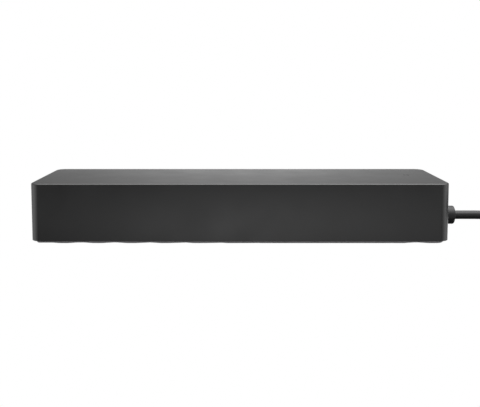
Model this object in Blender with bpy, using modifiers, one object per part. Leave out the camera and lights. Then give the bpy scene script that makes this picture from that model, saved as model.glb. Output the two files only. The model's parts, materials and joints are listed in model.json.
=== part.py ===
"""Laptop docking station: a long, low desk dock with a captive host cable.

A one-piece moulded cover closes over a screwed base tray. The sockets stand in a panel along the
rear side, on one main board, and a sprung power button sits beside them. Metres, +Z up. The origin
is on the table under the middle of the housing, +X points to the cable end and +Y to the sockets.
"""

import math
from collections import namedtuple

import bmesh
import bpy
from mathutils import Vector

# Housing
TOP_LENGTH = 0.2100
TOP_DEPTH = 0.0563
HEIGHT = 0.0306
DRAFT = math.radians(1.4)  # the walls flare downwards, as a moulded cover does
CORNER_RADIUS = 0.0050
EDGE_RADIUS = 0.0006
WALL = 0.0018
COVER_BOTTOM = 0.0015  # the rubber pad shows below this height
CLEARANCE = 0.0003

# Rubber pad with shallow ridges that run front to back
PAD_INSET = 0.0022
PAD_CORNER = 0.0030
RIDGE_PITCH = 0.0170
RIDGE_DEPTH = 0.00035
RIDGE_AT_X = -0.0042
STEPS_PER_RIDGE = 8

# Base tray, and the posts in the cover that its screws go into
TRAY_FLOOR = 0.0018
TRAY_TOP = 0.0038
TRAY_RIM_TOP = 0.0068
TRAY_RIM_WIDTH = 0.0014
TRAY_CUT_TOP = 0.0100
RIB_TOP = 0.0053
POST_X, POST_Y = 0.0980, 0.0210
POST_RADIUS = 0.0030
POST_BORE = 0.0015
POST_BORE_TOP = 0.0115

# Main board on its bosses, with a shield plate below it
BOARD_BOTTOM = 0.0089
BOARD_TOP = 0.0105
BOARD_HALF_X, BOARD_HALF_Y = 0.0940, 0.0235
BOSS_X, BOSS_Y = 0.0900, 0.0200
BOSS_RADIUS = 0.0028
BOSS_BORE = 0.0013
SEAT = BOARD_TOP + CLEARANCE  # where the board's parts stand
SHIELD_LOW, SHIELD_HIGH = 0.0056, 0.0064
CHIP_HEIGHT = 0.0010
THERMAL_PAD_HEIGHT = 0.0010
SPREADER_HEIGHT = 0.0045
GROOVE_PITCH = 0.0039

# Socket panel in the rear wall
WINDOW_HALF_X = 0.0920
WINDOW_LOW, WINDOW_HIGH = 0.0056, 0.0260
WALL_MIDDLE_Z = (WINDOW_LOW + WINDOW_HIGH) / 2
PANEL_RECESS = 0.0004
PANEL_LIP = 0.0012
PANEL_LIP_THICKNESS = 0.0010
MOUTH_Y = 0.0279
SOCKET_Z = 0.0144

# Power button, its switch and the status light
BUTTON_X = 0.0760
BUTTON_RADIUS = 0.0032
BUTTON_FRONT_Y = 0.02845
BUTTON_FLANGE = 0.0009
BUTTON_FLANGE_Y = 0.0250
STEM_RADIUS = 0.0012
STEM_END_Y = 0.0218
LIGHT_X, LIGHT_Y = 0.0900, 0.0030
LIGHT_RADIUS = 0.0012
LED_Y = 0.0070

# Captive cable and its entry in the right end
CABLE_RADIUS = 0.00235
CABLE_Z = 0.0093
CABLE_SPLIT_X = 0.1056  # where the free part starts, hidden in the collar
CABLE_HOLE_RADIUS = 0.0042
COLLAR_RADIUS = 0.00495
COLLAR_NECK_RADIUS = 0.0039
COLLAR_TIP_X = 0.1156
CLAMP_X = 0.0985
CLAMP_HALF_X, CLAMP_HALF_Y = 0.0025, 0.0080
CLAMP_TOP = 0.0132
CLAMP_SCREW_Y = 0.0056

# Coil that holds the cable's spare length, its tie, and the plug beside it
COIL_X = 0.1930
COIL_INNER, COIL_OUTER = 0.0212, 0.0308
COIL_LOW, COIL_SHOULDER, COIL_HIGH = 0.0008, 0.0100, 0.0146
COIL_SLOPE = 0.0022
TIE_HALF_WIDTH = 0.0035
TIE_THICKNESS = 0.0006
PLUG_X, PLUG_Z = 0.2309, 0.00325
PLUG_RELIEF_TIP_Y, PLUG_RELIEF_END_Y = 0.0080, -0.0020
PLUG_GRIP_END_Y, PLUG_NOSE_END_Y = -0.0220, -0.0290

# Routes of the cable: inside the housing, out to the coil, and from the coil to the plug
INNER_ROUTE = (
    (0.0783, -0.0120, 0.0132),
    (0.0818, -0.0118, 0.0129),
    (0.0850, -0.0102, 0.0118),
    (0.0878, -0.0072, 0.0106),
    (0.0902, -0.0037, 0.0098),
    (0.0928, -0.0010, 0.0094),
    (0.0955, 0.0, 0.0093),
    (0.0990, 0.0, 0.0093),
    (0.1020, 0.0, 0.0093),
    (CABLE_SPLIT_X - CLEARANCE, 0.0, 0.0093),
)
LEAD_ROUTE = (
    (CABLE_SPLIT_X, 0.0, 0.0093),
    (0.1120, 0.0, 0.0093),
    (0.1183, 0.0, 0.0093),
    (0.1243, 0.0, 0.0093),
    (0.1303, 0.0, 0.00925),
    (0.1363, 0.0, 0.0088),
    (0.1418, 0.0, 0.0077),
    (0.1470, 0.0005, 0.0062),
    (0.1520, 0.0021, 0.0047),
    (0.1567, 0.0045, 0.0036),
    (0.1608, 0.0079, 0.0032),
)
TAIL_ROUTE = (
    (0.2110, 0.0288, 0.0088),
    (0.2172, 0.0277, 0.0070),
    (0.2232, 0.0244, 0.0051),
    (0.2277, 0.0195, 0.0039),
    (0.2303, 0.0136, 0.0033),
    (PLUG_X, PLUG_RELIEF_TIP_Y + CLEARANCE, PLUG_Z),
)

FINISHES = {  # colour, roughness, metallic
    "cover_plastic": ((0.045, 0.045, 0.047), 0.42, 0.0),
    "panel_plastic": ((0.018, 0.018, 0.019), 0.38, 0.0),
    "tray_plastic": ((0.030, 0.030, 0.031), 0.60, 0.0),
    "pad_rubber": ((0.060, 0.058, 0.062), 0.80, 0.0),
    "cable_rubber": ((0.022, 0.022, 0.024), 0.50, 0.0),
    "board_laminate": ((0.010, 0.055, 0.030), 0.45, 0.0),
    "socket_metal": ((0.62, 0.62, 0.63), 0.28, 1.0),
    "socket_plastic": ((0.015, 0.015, 0.016), 0.50, 0.0),
    "contact_gold": ((0.83, 0.62, 0.25), 0.25, 1.0),
    "chip_epoxy": ((0.020, 0.020, 0.022), 0.55, 0.0),
    "spreader_aluminium": ((0.70, 0.71, 0.73), 0.35, 1.0),
    "shield_steel": ((0.55, 0.56, 0.57), 0.35, 1.0),
    "screw_steel": ((0.30, 0.30, 0.31), 0.30, 1.0),
    "thermal_silicone": ((0.45, 0.52, 0.58), 0.85, 0.0),
    "light_pipe": ((0.50, 0.50, 0.52), 0.15, 0.0),
    "ferrite": ((0.10, 0.10, 0.11), 0.65, 0.0),
    "tie_fabric": ((0.020, 0.020, 0.022), 0.90, 0.0),
}

Socket = namedtuple("Socket", "name x shape")
Shape = namedtuple("Shape", "width height corners depth tongue_width tongue_height tongue_shift")
Screw = namedtuple("Screw", "head_radius head_height shank_radius tip_z")
Chip = namedtuple("Chip", "name x y side height finish")

# Opening sizes of standard sockets. Corners run upper right, lower right, lower left, upper left;
# a positive corner is a radius and a negative one is a straight chamfer.
SOCKET_WALL = 0.00035
USB_A = Shape(0.0125, 0.0051, (0.0005,) * 4, 0.0140, 0.0111, 0.0018, 0.0010)
USB_C = Shape(0.0084, 0.0026, (0.00125,) * 4, 0.0085, 0.0064, 0.0007, 0.0)
VIDEO_WIDE = Shape(0.0144, 0.0047, (0.0004, -0.0014, -0.0014, 0.0004), 0.0112, 0.0118, 0.0010, 0.0002)
VIDEO_KEYED = Shape(0.0161, 0.0048, (0.0004, 0.0004, -0.0018, 0.0004), 0.0120, 0.0130, 0.0011, 0.0)
SOCKETS = (
    Socket("usb_c_socket_1", 0.0580, USB_C),
    Socket("usb_c_socket_2", 0.0400, USB_C),
    Socket("usb_a_socket_1", 0.0185, USB_A),
    Socket("usb_a_socket_2", -0.0020, USB_A),
    Socket("video_socket_1", -0.0250, VIDEO_WIDE),
    Socket("video_socket_2", -0.0500, VIDEO_KEYED),
)
JACK_X = -0.0770
JACK_WIDTH, JACK_HEIGHT, JACK_DEPTH = 0.0160, 0.0134, 0.0160
JACK_WALL = 0.0004
JACK_CAVITY_DEPTH = 0.0125
JACK_CONTACTS = 8
JACK_CONTACT_PITCH = 0.00102

BASE_SCREW = Screw(0.0023, 0.0007, 0.0012, 0.0105)
BOARD_SCREW = Screw(0.0022, 0.0014, 0.0010, 0.0055)
CLAMP_SCREW = Screw(0.0019, 0.0012, 0.0009, 0.0054)

CHIPS = (
    Chip("hub_controller_chip", 0.0100, -0.0080, 0.0100, CHIP_HEIGHT, "chip_epoxy"),
    Chip("video_bridge_chip", -0.0280, -0.0080, 0.0090, CHIP_HEIGHT, "chip_epoxy"),
    Chip("network_controller_chip", -0.0620, -0.0060, 0.0070, 0.0009, "chip_epoxy"),
    Chip("power_controller_chip", 0.0440, -0.0030, 0.0060, 0.0009, "chip_epoxy"),
    Chip("power_inductor", 0.0560, -0.0130, 0.0070, 0.0040, "ferrite"),
)
COOLED_CHIPS = CHIPS[:2]


def clear_scene():
    for obj in list(bpy.data.objects):
        bpy.data.objects.remove(obj, do_unlink=True)


def new_collection(name):
    collection = bpy.data.collections.new(name)
    bpy.context.scene.collection.children.link(collection)
    return collection


clear_scene()
PARTS = new_collection("laptop_docking_station")
CUTTERS = new_collection("cutters")


def material(finish):
    """The named Principled material, made the first time it is asked for."""
    if finish in bpy.data.materials:
        return bpy.data.materials[finish]
    colour, roughness, metallic = FINISHES[finish]
    made = bpy.data.materials.new(finish)
    made.use_nodes = True
    shader = made.node_tree.nodes["Principled BSDF"]
    shader.inputs["Base Color"].default_value = (*colour, 1.0)
    shader.inputs["Roughness"].default_value = roughness
    shader.inputs["Metallic"].default_value = metallic
    made.diffuse_color = (*colour, 1.0)
    return made


def file_under(obj, finish):
    """A finish makes the object a part; without one it is a helper that cuts or joins."""
    for collection in list(obj.users_collection):
        collection.objects.unlink(obj)
    if finish:
        PARTS.objects.link(obj)
        obj.data.materials.append(material(finish))
    else:
        CUTTERS.objects.link(obj)
        obj.hide_render = True
        obj.display_type = "WIRE"
    return obj


def mesh_object(name, bm, centre, finish=None):
    mesh = bpy.data.meshes.new(name)
    bm.to_mesh(mesh)
    bm.free()
    obj = bpy.data.objects.new(name, mesh)
    obj.location = centre
    return file_under(obj, finish)


def scaled_cube(size):
    bm = bmesh.new()
    bmesh.ops.create_cube(bm, size=1.0)
    bmesh.ops.scale(bm, vec=size, verts=bm.verts)
    return bm


def box(name, low, high, finish=None, rounding=0.0):
    """Box between two opposite corners, with every edge chamfered if asked."""
    low, high = Vector(low), Vector(high)
    bm = scaled_cube(high - low)
    if rounding:
        bmesh.ops.bevel(bm, geom=bm.edges[:], offset=rounding, segments=1, profile=0.5, affect="EDGES")
    return mesh_object(name, bm, (low + high) / 2, finish)


def rod(name, start, end, radius, finish=None, sides=20, end_radius=None):
    """Cylinder or cone between two points."""
    start, end = Vector(start), Vector(end)
    bm = bmesh.new()
    bmesh.ops.create_cone(
        bm,
        cap_ends=True,
        segments=sides,
        radius1=radius,
        radius2=radius if end_radius is None else end_radius,
        depth=(end - start).length,
    )
    obj = mesh_object(name, bm, (start + end) / 2, finish)
    obj.rotation_euler = (end - start).to_track_quat("Z", "Y").to_euler()
    obj.data.shade_smooth()
    obj.data.set_sharp_from_angle(angle=math.radians(40))
    return obj


def upright(edge):
    return abs(edge.verts[0].co.z - edge.verts[1].co.z) > 1e-6


def block(name, half_x, half_y, low, high, corner, finish=None, draft=0.0, edge=0.0, segments=6):
    """Slab with rounded upright corners. Half sizes hold at the housing's top and grow downwards."""
    bm = scaled_cube((2 * half_x, 2 * half_y, high - low))
    corners = [e for e in bm.edges if upright(e)]
    bmesh.ops.bevel(bm, geom=corners, offset=corner, segments=segments, profile=0.5, affect="EDGES")
    middle = (low + high) / 2
    for vert in bm.verts:
        flare = math.tan(draft) * (HEIGHT - middle - vert.co.z)
        vert.co.x += math.copysign(flare, vert.co.x)
        vert.co.y += math.copysign(flare, vert.co.y)
    if edge:
        top = max(v.co.z for v in bm.verts)
        rim = [e for e in bm.edges if all(abs(v.co.z - top) < 1e-6 for v in e.verts)]
        bmesh.ops.bevel(bm, geom=rim, offset=edge, segments=3, profile=0.5, affect="EDGES")
    obj = mesh_object(name, bm, (0, 0, middle), finish)
    obj.data.shade_smooth()
    obj.data.set_sharp_from_angle(angle=math.radians(30))
    return obj


def prism(name, width, height, corners, start_y, end_y, x, z, finish=None, segments=3):
    """Bar along Y whose four long edges are each rounded, or chamfered where negative."""
    bm = scaled_cube((width, end_y - start_y, height))
    signs = ((1, 1), (1, -1), (-1, -1), (-1, 1))
    for (side_x, side_z), radius in zip(signs, corners):
        target = Vector((side_x * width / 2, 0, side_z * height / 2))
        found = [
            e
            for e in bm.edges
            if all((Vector((v.co.x, 0, v.co.z)) - target).length < 1e-6 for v in e.verts)
        ]
        pieces = segments if radius > 0 else 1
        bmesh.ops.bevel(bm, geom=found, offset=abs(radius), segments=pieces, profile=0.5, affect="EDGES")
    return mesh_object(name, bm, (x, (start_y + end_y) / 2, z), finish)


def grown(corners, amount):
    """The corners of an outline that lies this much further out, or further in if negative."""
    return [math.copysign(max(abs(corner) + amount, 0.0002), corner) for corner in corners]


def boolean(target, helper, operation):
    modifier = target.modifiers.new(f"{operation.lower()} {helper.name}", "BOOLEAN")
    modifier.operation = operation
    modifier.solver = "EXACT"
    modifier.object = helper


def cut(target, *helpers):
    for helper in helpers:
        boolean(target, helper, "DIFFERENCE")


def join(target, *helpers):
    for helper in helpers:
        boolean(target, helper, "UNION")


def turned(name, profile, centre, finish, steps=24, axis="Z", closed=True):
    """Turned solid. The profile (radius, height) runs down the outer side, then back up the bore."""
    bm = bmesh.new()
    verts = [bm.verts.new((radius, 0, height)) for radius, height in profile]
    for first, second in zip(verts, verts[1:]):
        bm.edges.new((first, second))
    if closed:
        bm.edges.new((verts[-1], verts[0]))
    obj = mesh_object(name, bm, centre, finish)
    screw = obj.modifiers.new("turn", "SCREW")
    screw.axis = "Z"
    screw.steps = steps
    screw.render_steps = steps
    screw.use_merge_vertices = True
    screw.merge_threshold = 0.00001
    screw.use_smooth_shade = True
    turns = {"Z": (0, 0, 0), "X": (0, math.pi / 2, 0), "Y": (-math.pi / 2, 0, 0)}
    obj.rotation_euler = turns[axis]
    return obj


def smooth_points(points, spacing):
    """Points at about the spacing along a smooth curve that passes through the given points."""
    points = [Vector(p) for p in points]
    reach = [0.0]
    for before, after in zip(points, points[1:]):
        reach.append(reach[-1] + (after - before).length)
    slopes = []
    for i in range(len(points)):
        low, high = max(i - 1, 0), min(i + 1, len(points) - 1)
        slopes.append((points[high] - points[low]) / (reach[high] - reach[low]))
    smooth = []
    for i in range(len(points) - 1):
        length = reach[i + 1] - reach[i]
        steps = max(1, round(length / spacing))
        for step in range(steps):
            t = step / steps
            smooth.append(
                points[i] * (2 * t**3 - 3 * t**2 + 1)
                + slopes[i] * length * (t**3 - 2 * t**2 + t)
                + points[i + 1] * (3 * t**2 - 2 * t**3)
                + slopes[i + 1] * length * (t**3 - t**2)
            )
    return smooth + [points[-1]]


def tube(name, points, radius, finish, spacing=0.005):
    """Round cord along a smooth route, with filled ends."""
    curve = bpy.data.curves.new(name, "CURVE")
    curve.dimensions = "3D"
    curve.bevel_depth = radius
    curve.bevel_resolution = 3
    curve.use_fill_caps = True
    spline = curve.splines.new("POLY")
    route = smooth_points(points, spacing)
    spline.points.add(len(route) - 1)
    for point, place in zip(spline.points, route):
        point.co = (*place, 1.0)
    return file_under(bpy.data.objects.new(name, curve), finish)


def screw_part(name, x, y, head_low, screw):
    """Screw whose head is above its shank, or below it when the tip is higher than the head."""
    upwards = screw.tip_z > head_low
    head_end = head_low if upwards else head_low + screw.head_height
    shoulder = head_low + screw.head_height if upwards else head_low
    profile = [
        (0.0, head_end),
        (screw.head_radius - 0.0002, head_end),
        (screw.head_radius, (head_end + shoulder) / 2),
        (screw.head_radius, shoulder),
        (screw.shank_radius, shoulder),
        (screw.shank_radius, screw.tip_z),
        (0.0, screw.tip_z),
    ]
    if upwards:
        profile.reverse()
    body = turned(name, profile, (x, y, 0), "screw_steel", steps=14, closed=False)
    inward = math.copysign(0.6 * screw.head_height, shoulder - head_end)
    outward = math.copysign(0.001, head_end - shoulder)
    recess = rod(
        f"{name}_drive",
        (x, y, head_end + inward),
        (x, y, head_end + outward),
        0.45 * screw.head_radius,
        sides=6,
    )
    cut(body, recess)


def corners_of(x, y):
    return ((-x, -y), (x, -y), (-x, y), (x, y))


# ---------------------------------------------------------------- housing


def rear_wall_plane():
    """Empty on the rear wall's sloping outer face, at the middle of the socket window."""
    plane = bpy.data.objects.new("rear_wall_plane", None)
    PARTS.objects.link(plane)
    plane.location = (0, TOP_DEPTH / 2 + math.tan(DRAFT) * (HEIGHT - WALL_MIDDLE_Z), WALL_MIDDLE_Z)
    plane.rotation_euler = (DRAFT, 0, 0)
    return plane


REAR_WALL = rear_wall_plane()


def make_cover():
    half_x, half_y = TOP_LENGTH / 2, TOP_DEPTH / 2
    cover = block(
        "top_cover",
        half_x,
        half_y,
        COVER_BOTTOM,
        HEIGHT,
        CORNER_RADIUS,
        "cover_plastic",
        draft=DRAFT,
        edge=EDGE_RADIUS,
        segments=8,
    )
    inside = block(
        "cover_inside",
        half_x - WALL,
        half_y - WALL,
        -0.001,
        HEIGHT - WALL,
        CORNER_RADIUS - WALL,
        draft=DRAFT,
        segments=4,
    )
    cut(cover, inside)
    for number, (x, y) in enumerate(corners_of(POST_X, POST_Y), start=1):
        post = rod(
            f"post_{number}",
            (x, y, TRAY_TOP + CLEARANCE),
            (x, y, HEIGHT - WALL / 2),
            POST_RADIUS,
            sides=16,
        )
        pilot = rod(f"post_pilot_{number}", (x, y, 0), (x, y, POST_BORE_TOP), POST_BORE, sides=12)
        join(cover, post)
        cut(cover, pilot)
    window = box(
        "socket_window",
        (-WINDOW_HALF_X, -2 * WALL, WINDOW_LOW - WALL_MIDDLE_Z),
        (WINDOW_HALF_X, WALL, WINDOW_HIGH - WALL_MIDDLE_Z),
    )
    window.parent = REAR_WALL
    wall_x = half_x + math.tan(DRAFT) * (HEIGHT - CABLE_Z)
    cable_hole = rod(
        "cable_hole",
        (wall_x - 2 * WALL, 0, CABLE_Z),
        (wall_x + WALL, 0, CABLE_Z),
        CABLE_HOLE_RADIUS,
        sides=24,
    )
    light_hole = rod(
        "light_hole",
        (LIGHT_X, LIGHT_Y, HEIGHT - 2 * WALL),
        (LIGHT_X, LIGHT_Y, HEIGHT + WALL),
        LIGHT_RADIUS + CLEARANCE,
        sides=16,
    )
    cut(cover, window, cable_hole, light_hole)
    return cover


def make_tray():
    """Tray that closes the cover from below, with the board's bosses and the cable's saddle."""
    fit = WALL + CLEARANCE - math.tan(DRAFT) * (HEIGHT - TRAY_RIM_TOP)
    half_x, half_y = TOP_LENGTH / 2 - fit, TOP_DEPTH / 2 - fit
    corner = CORNER_RADIUS - WALL
    tray = block("base_tray", half_x, half_y, TRAY_FLOOR, TRAY_RIM_TOP, corner, "tray_plastic", segments=4)
    rim = TRAY_RIM_WIDTH
    inner_x, inner_y = half_x - rim, half_y - rim
    rear_gap = BOARD_HALF_X
    cable_gap = COLLAR_RADIUS + 0.0010
    cut(
        tray,
        block("tray_pocket", inner_x, inner_y, TRAY_TOP, TRAY_CUT_TOP, corner - rim, segments=3),
        box("tray_rear_gap", (-rear_gap, inner_y - rim, TRAY_TOP), (rear_gap, half_y + rim, TRAY_CUT_TOP)),
        box("tray_cable_gap", (inner_x - rim, -cable_gap, TRAY_TOP), (half_x + rim, cable_gap, TRAY_CUT_TOP)),
    )
    add_bosses(tray)
    cut_screw_seats(tray)
    for number, x in enumerate((-0.060, 0.0, 0.060), start=1):
        rib = box(f"tray_rib_{number}", (x - 0.001, -0.0200, TRAY_TOP - 0.0005), (x + 0.001, 0.0200, RIB_TOP))
        join(tray, rib)
    add_cable_saddle(tray)


def add_bosses(tray):
    for number, (x, y) in enumerate(corners_of(BOSS_X, BOSS_Y), start=1):
        low, high = TRAY_TOP - 0.0005, BOARD_BOTTOM - CLEARANCE
        join(tray, rod(f"boss_{number}", (x, y, low), (x, y, high), BOSS_RADIUS, sides=16))
        cut(tray, rod(f"boss_pilot_{number}", (x, y, 0.0048), (x, y, high + 0.001), BOSS_BORE, sides=12))


def cut_screw_seats(tray):
    for number, (x, y) in enumerate(corners_of(POST_X, POST_Y), start=1):
        below, above = TRAY_FLOOR - 0.001, TRAY_TOP + 0.001
        seat = TRAY_FLOOR + 0.0011
        cut(
            tray,
            rod(f"tray_hole_{number}", (x, y, below), (x, y, above), POST_BORE, sides=12),
            rod(f"tray_recess_{number}", (x, y, below), (x, y, seat), 0.0027, sides=16),
        )


def add_cable_saddle(tray):
    saddle = box(
        "cable_saddle",
        (CLAMP_X - CLAMP_HALF_X, -CLAMP_HALF_Y, TRAY_TOP - 0.0005),
        (CLAMP_X + CLAMP_HALF_X, CLAMP_HALF_Y, CABLE_Z - CLEARANCE),
    )
    join(tray, saddle)
    cut(tray, cable_groove("saddle_groove"))
    for number, y in enumerate((-CLAMP_SCREW_Y, CLAMP_SCREW_Y), start=1):
        low, high = TRAY_TOP + 0.0007, CLAMP_TOP
        cut(tray, rod(f"saddle_pilot_{number}", (CLAMP_X, y, low), (CLAMP_X, y, high), 0.0012, sides=12))


def cable_groove(name):
    return rod(
        name,
        (CLAMP_X - 0.004, 0, CABLE_Z),
        (CLAMP_X + 0.004, 0, CABLE_Z),
        CABLE_RADIUS + CLEARANCE,
        sides=20,
    )


def ridge_height(x):
    """Height of the pad's underside above the table: flat on each ridge and hollow between them."""
    phase = 2 * math.pi * (x - RIDGE_AT_X) / RIDGE_PITCH
    flat = math.cos(2 * math.pi / STEPS_PER_RIDGE)
    return RIDGE_DEPTH * max(0.0, flat - math.cos(phase)) / (1 + flat)


def make_pad():
    flare = math.tan(DRAFT) * (HEIGHT - COVER_BOTTOM)
    half_x = TOP_LENGTH / 2 + flare - PAD_INSET
    half_y = TOP_DEPTH / 2 + flare - PAD_INSET
    bm = scaled_cube((2 * half_x, 2 * half_y, COVER_BOTTOM))
    step = RIDGE_PITCH / STEPS_PER_RIDGE
    straight = half_x - PAD_CORNER - 0.001
    first = math.ceil((-straight - RIDGE_AT_X) / step)
    last = math.floor((straight - RIDGE_AT_X) / step)
    for number in range(first, last + 1):
        bmesh.ops.bisect_plane(
            bm,
            geom=bm.verts[:] + bm.edges[:] + bm.faces[:],
            plane_co=(RIDGE_AT_X + number * step, 0, 0),
            plane_no=(1, 0, 0),
        )
    corners = [e for e in bm.edges if upright(e) and all(abs(v.co.x) > half_x - 1e-6 for v in e.verts)]
    bmesh.ops.bevel(bm, geom=corners, offset=PAD_CORNER, segments=4, profile=0.5, affect="EDGES")
    for vert in bm.verts:
        if vert.co.z < 0:
            vert.co.z += ridge_height(vert.co.x)
    return mesh_object("base_pad", bm, (0, 0, COVER_BOTTOM / 2), "pad_rubber")


# ---------------------------------------------------------------- socket panel


def on_rear_wall(name, half_x, low_z, high_z, inner, outer, finish=None):
    """Plate parallel to the sloping rear wall, between two distances from its outer face."""
    low = (-half_x, inner, low_z - WALL_MIDDLE_Z)
    plate = box(name, low, (half_x, outer, high_z - WALL_MIDDLE_Z), finish)
    plate.parent = REAR_WALL
    return plate


def make_panel():
    gap = CLEARANCE
    behind_wall = -(WALL + gap)
    panel = on_rear_wall(
        "port_panel",
        WINDOW_HALF_X - gap,
        WINDOW_LOW + gap,
        WINDOW_HIGH - gap,
        behind_wall - 0.0004,
        -PANEL_RECESS,
        "panel_plastic",
    )
    flange = on_rear_wall(
        "panel_flange",
        WINDOW_HALF_X + PANEL_LIP,
        WINDOW_LOW - PANEL_LIP,
        WINDOW_HIGH + PANEL_LIP,
        behind_wall - PANEL_LIP_THICKNESS,
        behind_wall,
    )
    join(panel, flange)
    inside, outside = MOUTH_Y - 0.008, MOUTH_Y + 0.004
    for socket in SOCKETS:
        shape = socket.shape
        wider = 2 * (SOCKET_WALL + CLEARANCE)
        opening = prism(
            f"{socket.name}_opening",
            shape.width + wider,
            shape.height + wider,
            grown(shape.corners, SOCKET_WALL + CLEARANCE / 2),
            inside,
            outside,
            socket.x,
            SOCKET_Z,
        )
        cut(panel, opening)
    jack_opening = box(
        "jack_opening",
        (JACK_X - JACK_WIDTH / 2 - CLEARANCE, inside, SEAT - CLEARANCE),
        (JACK_X + JACK_WIDTH / 2 + CLEARANCE, outside, SEAT + JACK_HEIGHT + CLEARANCE),
    )
    button_opening = rod(
        "button_opening",
        (BUTTON_X, inside, SOCKET_Z),
        (BUTTON_X, outside, SOCKET_Z),
        BUTTON_RADIUS + CLEARANCE,
    )
    cut(panel, jack_opening, button_opening)


# ---------------------------------------------------------------- sockets


def make_socket(socket):
    """Folded metal tube on two legs, and the plastic tongue that carries the contacts."""
    name, x, shape = socket
    back = MOUTH_Y - shape.depth
    wall = SOCKET_WALL
    outer_corners = grown(shape.corners, 0.8 * wall)
    outer = (shape.width + 2 * wall, shape.height + 2 * wall)
    shell = prism(f"{name}_shell", *outer, outer_corners, back, MOUTH_Y, x, SOCKET_Z, "socket_metal")
    low = SOCKET_Z - outer[1] / 2
    for side in (-1, 1):
        leg_x = x + side * (shape.width / 2 - 0.0022)
        leg = box(
            f"{name}_leg_{'left' if side < 0 else 'right'}",
            (leg_x - 0.0005, back + 0.0015, SEAT),
            (leg_x + 0.0005, back + 0.0045, low + wall / 2),
        )
        join(shell, leg)
    opening = prism(
        f"{name}_bore",
        shape.width,
        shape.height,
        shape.corners,
        back - 0.001,
        MOUTH_Y + 0.001,
        x,
        SOCKET_Z,
    )
    cut(shell, opening)
    make_tongue(name, x, shape, back)


def make_tongue(name, x, shape, back):
    gap = CLEARANCE
    tongue = prism(
        f"{name}_tongue",
        shape.width - 2 * gap,
        shape.height - 2 * gap,
        grown(shape.corners, -gap),
        back,
        back + 0.0025,
        x,
        SOCKET_Z,
        "socket_plastic",
    )
    middle = SOCKET_Z + shape.tongue_shift
    plate = box(
        f"{name}_plate",
        (x - shape.tongue_width / 2, back + 0.001, middle - shape.tongue_height / 2),
        (x + shape.tongue_width / 2, MOUTH_Y - 0.0009, middle + shape.tongue_height / 2),
    )
    join(tongue, plate)


def make_network_jack():
    """Shielded network jack: metal can, moulded body with a keyed cavity, and its contact comb."""
    left, right = JACK_X - JACK_WIDTH / 2, JACK_X + JACK_WIDTH / 2
    back = MOUTH_Y - JACK_DEPTH
    top = SEAT + JACK_HEIGHT
    wall = JACK_WALL
    shield = box("network_jack_shield", (left, back, SEAT), (right, MOUTH_Y, top), "socket_metal")
    hollow = box(
        "shield_hollow",
        (left + wall, back + wall, SEAT + wall),
        (right - wall, MOUTH_Y + 0.001, top - wall),
    )
    cut(shield, hollow)

    inset = wall + CLEARANCE
    body = box(
        "network_jack_body",
        (left + inset, back + inset, SEAT + inset),
        (right - inset, MOUTH_Y - 0.0003, top - inset),
        "socket_plastic",
    )
    floor = SEAT + 0.0021
    cavity_back = MOUTH_Y - JACK_CAVITY_DEPTH
    outside = MOUTH_Y + 0.002
    cut(
        body,
        box("jack_cavity", (JACK_X - 0.0059, cavity_back, floor), (JACK_X + 0.0059, outside, floor + 0.0068)),
        box("jack_latch", (JACK_X - 0.0030, cavity_back, floor), (JACK_X + 0.0030, outside, floor + 0.0092)),
    )
    make_jack_contacts(cavity_back, floor)


def make_jack_contacts(cavity_back, floor):
    """Eight spring wires that lean forward out of one comb."""
    comb = box(
        "network_jack_contacts",
        (JACK_X - 0.0048, cavity_back + 0.0004, floor + 0.0003),
        (JACK_X + 0.0048, cavity_back + 0.0009, floor + 0.0020),
        "contact_gold",
    )
    for number in range(JACK_CONTACTS):
        wire_x = JACK_X + (number - (JACK_CONTACTS - 1) / 2) * JACK_CONTACT_PITCH
        wire = rod(
            f"jack_wire_{number + 1}",
            (wire_x, cavity_back + 0.0006, floor + 0.0016),
            (wire_x, cavity_back + 0.0078, floor + 0.0007),
            0.00024,
            sides=6,
        )
        join(comb, wire)


# ---------------------------------------------------------------- board and what stands on it


def make_board():
    board = box(
        "main_board",
        (-BOARD_HALF_X, -BOARD_HALF_Y, BOARD_BOTTOM),
        (BOARD_HALF_X, BOARD_HALF_Y, BOARD_TOP),
        "board_laminate",
    )
    below, above = BOARD_BOTTOM - 0.002, BOARD_TOP + 0.002
    cut(board, box("cable_notch", (0.0788, -0.0155, below), (BOARD_HALF_X + 0.002, 0.0034, above)))
    for number, (x, y) in enumerate(corners_of(BOSS_X, BOSS_Y), start=1):
        cut(board, rod(f"board_hole_{number}", (x, y, below), (x, y, above), 0.0014, sides=12))


def make_chips():
    for chip in CHIPS:
        half = chip.side / 2
        low = (chip.x - half, chip.y - half, SEAT)
        high = (chip.x + half, chip.y + half, SEAT + chip.height)
        box(chip.name, low, high, chip.finish, chip.height / 10)
    box(
        "network_transformer",
        (JACK_X - 0.0076, -0.0010, SEAT),
        (JACK_X + 0.0076, 0.0090, SEAT + 0.0050),
        "chip_epoxy",
        0.0004,
    )
    capacitor = ((0.0, 0.0074), (0.0024, 0.0074), (0.00315, 0.0068), (0.00315, 0.0), (0.0, 0.0))
    turned("bulk_capacitor", capacitor, (0.0420, -0.0160, SEAT), "spreader_aluminium", 20, closed=False)
    led_low = (LIGHT_X - 0.0008, LED_Y - 0.0008, SEAT)
    led_high = (LIGHT_X + 0.0008, LED_Y + 0.0008, SEAT + 0.0008)
    box("status_led", led_low, led_high, "light_pipe", 0.0001)


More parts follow.
